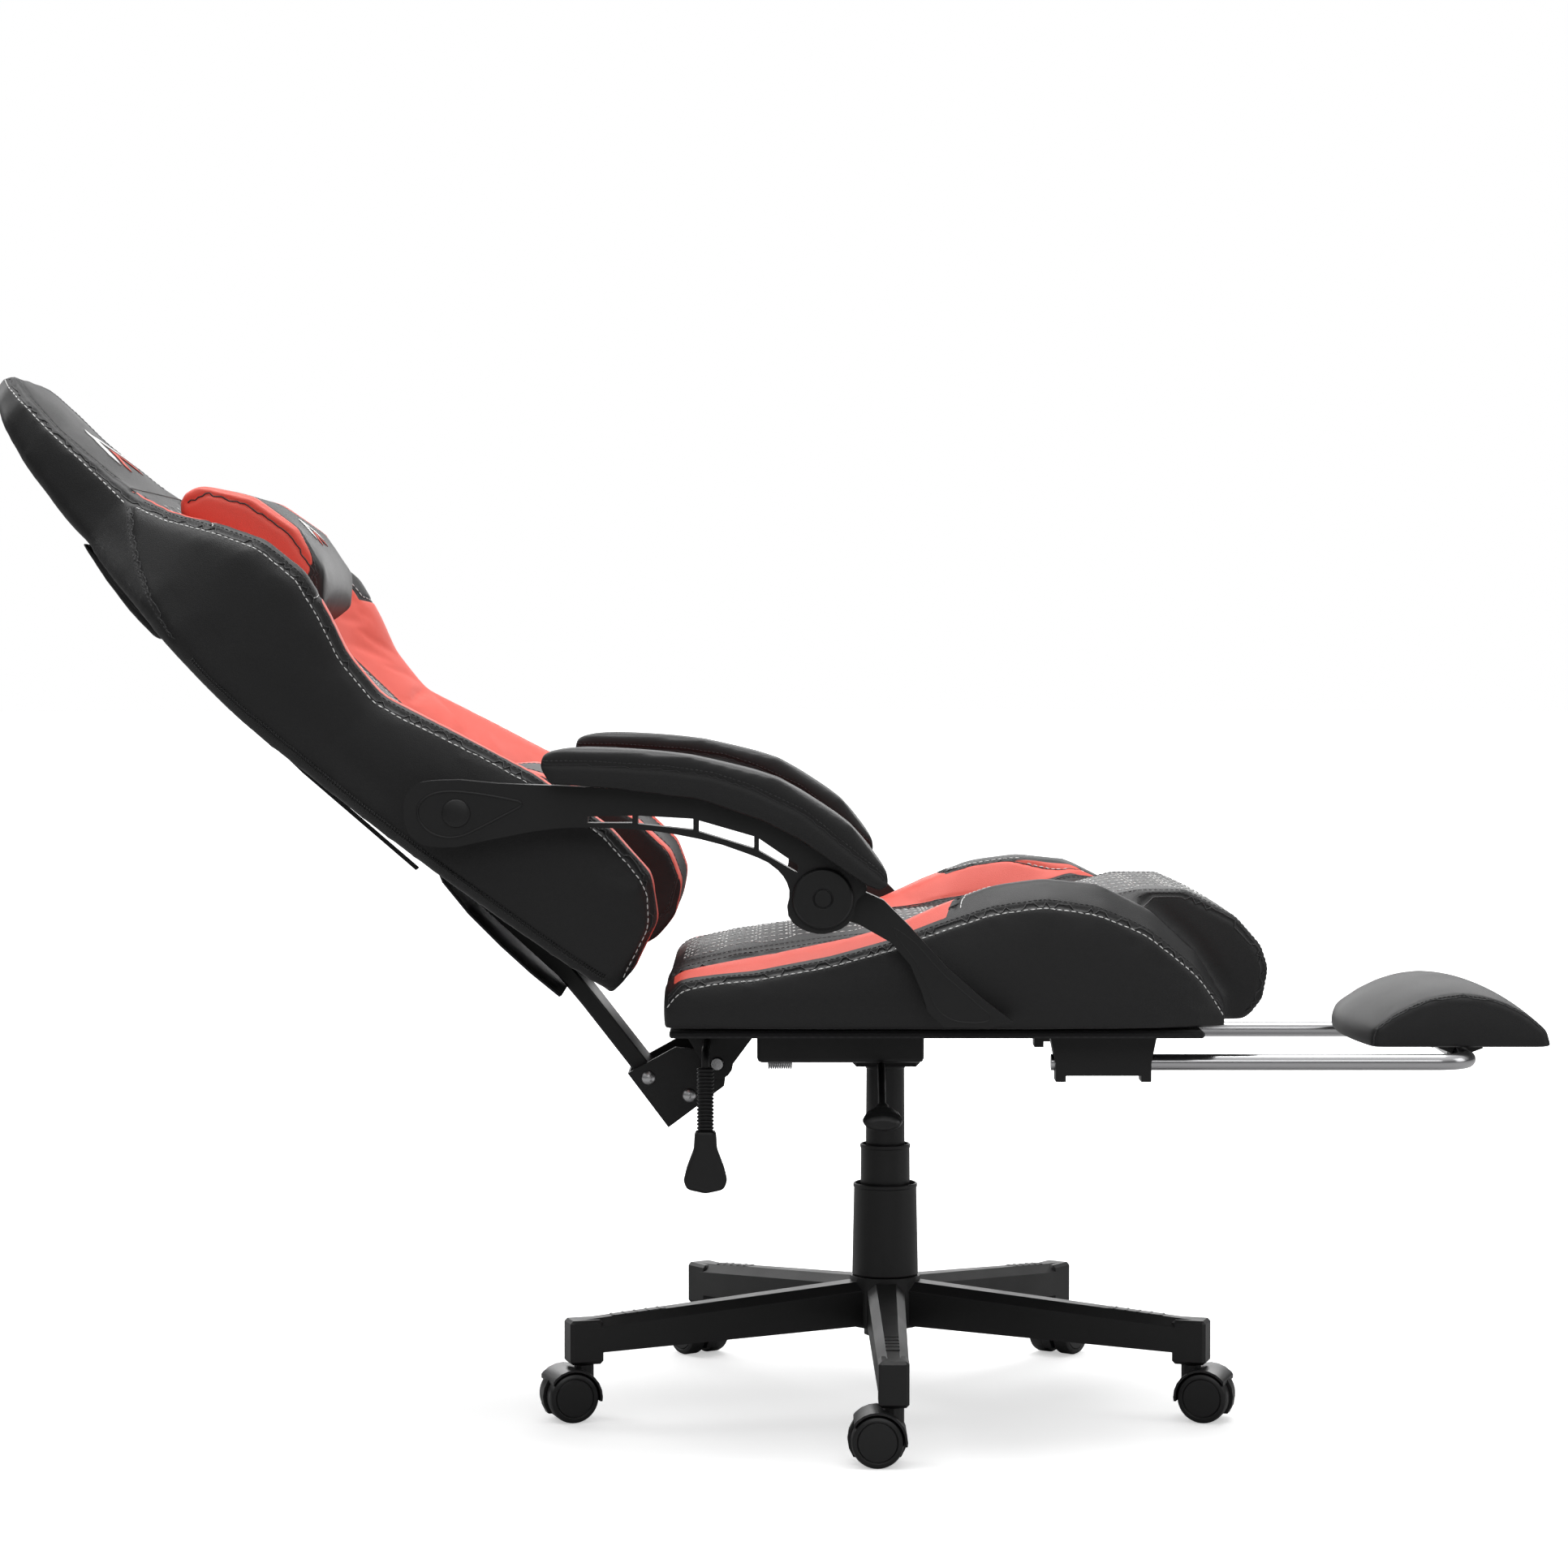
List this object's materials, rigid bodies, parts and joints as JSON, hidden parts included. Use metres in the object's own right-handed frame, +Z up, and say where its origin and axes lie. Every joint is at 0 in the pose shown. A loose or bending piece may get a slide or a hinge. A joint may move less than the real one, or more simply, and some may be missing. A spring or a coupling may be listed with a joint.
{
  "type": "gaming chair",
  "caption": "Reclining gaming chair with linked armrests, pull-out flip footrest, loose head and lumbar cushions, gas lift and castered star base.",
  "frame": {"origin": "on the floor, under the middle of the chair's overall length and width at rest", "axes": "+X to the sitter's front, +Y to the sitter's left, +Z up"},
  "size_m": [1.5415, 0.684, 1.0414],
  "materials": {
    "black_leather": "fine-grained black synthetic leather",
    "black_plastic": "satin moulded plastic",
    "black_steel": "black powder coat",
    "chrome": "bright chrome plate",
    "zinc_steel": "zinc-plated steel",
    "black_webbing": "woven black strap",
    "plywood": "plywood under a thin black lining",
    "red_leather": "fine-grained coral red synthetic leather",
    "white_thread": "white sewing thread"
  },
  "bodies": {
    "base": {"star_base": "black_plastic", "gas_lift_tube": "black_steel", "lift_cover_bottom": "black_plastic"},
    "caster_1": {"caster_fork_1": "black_plastic"},
    "wheels_1": {"caster_wheels_1": "black_plastic"},
    "caster_2": {"caster_fork_2": "black_plastic"},
    "wheels_2": {"caster_wheels_2": "black_plastic"},
    "caster_3": {"caster_fork_3": "black_plastic"},
    "wheels_3": {"caster_wheels_3": "black_plastic"},
    "caster_4": {"caster_fork_4": "black_plastic"},
    "wheels_4": {"caster_wheels_4": "black_plastic"},
    "caster_5": {"caster_fork_5": "black_plastic"},
    "wheels_5": {"caster_wheels_5": "black_plastic"},
    "lift_middle": {"lift_cover_middle": "black_plastic"},
    "lift": {"gas_piston_rod": "chrome", "lift_cover_top": "black_plastic"},
    "seat": {"seat_mechanism": "black_steel", "tilt_spring": "zinc_steel", "seat_board": "plywood", "seat_cushion": "black_leather", "seat_bolster_left": "black_leather", "seat_bolster_right": "black_leather", "recline_bracket": "black_steel", "recline_axle": "zinc_steel", "footrest_guide_left": "black_steel", "footrest_guide_right": "black_steel", "post_pin_left": "zinc_steel", "post_pin_right": "zinc_steel"},
    "back": {"back_bracket": "black_steel", "bracket_bolt_upper": "zinc_steel", "bracket_bolt_lower": "zinc_steel", "back_bar": "black_steel", "back_cushion": "black_leather", "back_wing_left": "black_leather", "back_wing_right": "black_leather", "back_upper_cover": "black_leather", "back_lower_cover": "black_plastic", "arm_rear_pivot_left": "black_plastic", "arm_rear_pivot_right": "black_plastic", "strap_left": "black_webbing", "strap_right": "black_webbing"},
    "lumbar": {"lumbar_cushion": "black_leather"},
    "pillow": {"head_pillow": "black_leather"},
    "arm_left": {"arm_frame_left": "black_plastic", "arm_pad_left": "black_leather", "arm_disc_left": "black_plastic"},
    "arm_right": {"arm_frame_right": "black_plastic", "arm_pad_right": "black_leather", "arm_disc_right": "black_plastic"},
    "post_left": {"arm_post_left": "black_plastic"},
    "post_right": {"arm_post_right": "black_plastic"},
    "recline_lever": {"recline_lever_hose": "black_plastic", "recline_lever_paddle": "black_plastic"},
    "height_lever": {"height_lever_rod": "black_steel", "height_lever_paddle": "black_plastic"},
    "footrest_slide": {"footrest_rails": "chrome"},
    "footrest_flip": {"footrest_pad": "black_leather", "footrest_clip_left": "black_steel", "footrest_clip_right": "black_steel"}
  },
  "joints": [
    {"name": "caster_1_swivel", "type": "hinge", "parent": "base", "child": "caster_1", "pos_m": [0.1172, -0.3175, 0.056], "axis": [0, 0, 1], "continuous": true},
    {"name": "wheels_1_roll", "type": "hinge", "parent": "caster_1", "child": "wheels_1", "pos_m": [0.1017, -0.3175, 0.025], "axis": [0, -1, 0], "continuous": true},
    {"name": "caster_2_swivel", "type": "hinge", "parent": "base", "child": "caster_2", "pos_m": [0.41916, -0.09811, 0.056], "axis": [0, 0, 1], "continuous": true},
    {"name": "wheels_2_roll", "type": "hinge", "parent": "caster_2", "child": "wheels_2", "pos_m": [0.4339, -0.1029, 0.025], "axis": [0.309, 0.9511, 0], "continuous": true},
    {"name": "caster_3_swivel", "type": "hinge", "parent": "base", "child": "caster_3", "pos_m": [0.30382, 0.25686, 0.056], "axis": [0, 0, 1], "continuous": true},
    {"name": "wheels_3_roll", "type": "hinge", "parent": "caster_3", "child": "wheels_3", "pos_m": [0.31293, 0.2694, 0.025], "axis": [-0.809, 0.5878, 0], "continuous": true},
    {"name": "caster_4_swivel", "type": "hinge", "parent": "base", "child": "caster_4", "pos_m": [-0.06942, 0.25686, 0.056], "axis": [0, 0, 1], "continuous": true},
    {"name": "wheels_4_roll", "type": "hinge", "parent": "caster_4", "child": "wheels_4", "pos_m": [-0.07853, 0.2694, 0.025], "axis": [-0.809, -0.5878, 0], "continuous": true},
    {"name": "caster_5_swivel", "type": "hinge", "parent": "base", "child": "caster_5", "pos_m": [-0.18476, -0.09811, 0.056], "axis": [0, 0, 1], "continuous": true},
    {"name": "wheels_5_roll", "type": "hinge", "parent": "caster_5", "child": "wheels_5", "pos_m": [-0.1995, -0.1029, 0.025], "axis": [0.309, -0.9511, 0], "continuous": true},
    {"name": "lift_slide", "type": "slide", "parent": "base", "child": "lift", "axis": [0, 0, 1], "range_m": [-0.045, 0.035]},
    {"name": "lift_middle_slide", "type": "slide", "parent": "base", "child": "lift_middle", "axis": [0, 0, 1], "range_m": [-0.0225, 0.0175]},
    {"name": "seat_swivel", "type": "hinge", "parent": "lift", "child": "seat", "pos_m": [0.1172, 0, 0.3445], "axis": [0, 0, 1], "continuous": true},
    {"name": "backrest_recline", "type": "hinge", "parent": "seat", "child": "back", "pos_m": [-0.0528, 0, 0.35], "axis": [0, 1, 0], "range_deg": [0, 34]},
    {"name": "lumbar_slide", "type": "slide", "parent": "back", "child": "lumbar", "axis": [-0.7302, 0, 0.6833], "range_m": [0, 0.05]},
    {"name": "pillow_slide", "type": "slide", "parent": "back", "child": "pillow", "axis": [-0.7302, 0, 0.6833], "range_m": [-0.04, 0.03]},
    {"name": "arm_left_hinge", "type": "hinge", "parent": "back", "child": "arm_left", "pos_m": [-0.2928, 0.286, 0.612], "axis": [0, 1, 0], "range_deg": [-29.25, 0]},
    {"name": "post_left_hinge", "type": "hinge", "parent": "seat", "child": "post_left", "pos_m": [0.1872, 0.286, 0.415], "axis": [0, 1, 0], "range_deg": [0, 61.21]},
    {"name": "arm_right_hinge", "type": "hinge", "parent": "back", "child": "arm_right", "pos_m": [-0.2928, -0.286, 0.612], "axis": [0, 1, 0], "range_deg": [-29.25, 0]},
    {"name": "post_right_hinge", "type": "hinge", "parent": "seat", "child": "post_right", "pos_m": [0.1872, -0.286, 0.415], "axis": [0, 1, 0], "range_deg": [0, 61.21]},
    {"name": "recline_lever_pull", "type": "hinge", "parent": "seat", "child": "recline_lever", "pos_m": [-0.0628, -0.15, 0.372], "axis": [0, 1, 0], "range_deg": [0, 28], "stiffness_Nm_per_rad": 1.5},
    {"name": "height_lever_lift", "type": "hinge", "parent": "seat", "child": "height_lever", "pos_m": [0.1112, -0.0745, 0.35], "axis": [-1, 0, 0], "range_deg": [0, 6.5], "stiffness_Nm_per_rad": 8, "springref_deg": -5.73},
    {"name": "footrest_slide", "type": "slide", "parent": "seat", "child": "footrest_slide", "axis": [-1, 0, 0], "range_m": [0, 0.25]},
    {"name": "footrest_flip", "type": "hinge", "parent": "footrest_slide", "child": "footrest_flip", "pos_m": [0.6862, 0, 0.363], "axis": [0, 1, 0], "range_deg": [0, 180]}
  ],
  "couplings": [
    {"joint": "lift_middle_slide", "follows": "lift_slide", "ratio": 0.5},
    {"joint": "footrest_flip", "follows": "footrest_slide", "rad_per_m": 12.56},
    {"joint": "arm_left_hinge", "follows": "backrest_recline", "ratio": -0.86},
    {"joint": "post_left_hinge", "follows": "backrest_recline", "ratio": 1.8},
    {"joint": "arm_right_hinge", "follows": "backrest_recline", "ratio": -0.86},
    {"joint": "post_right_hinge", "follows": "backrest_recline", "ratio": 1.8}
  ]
}
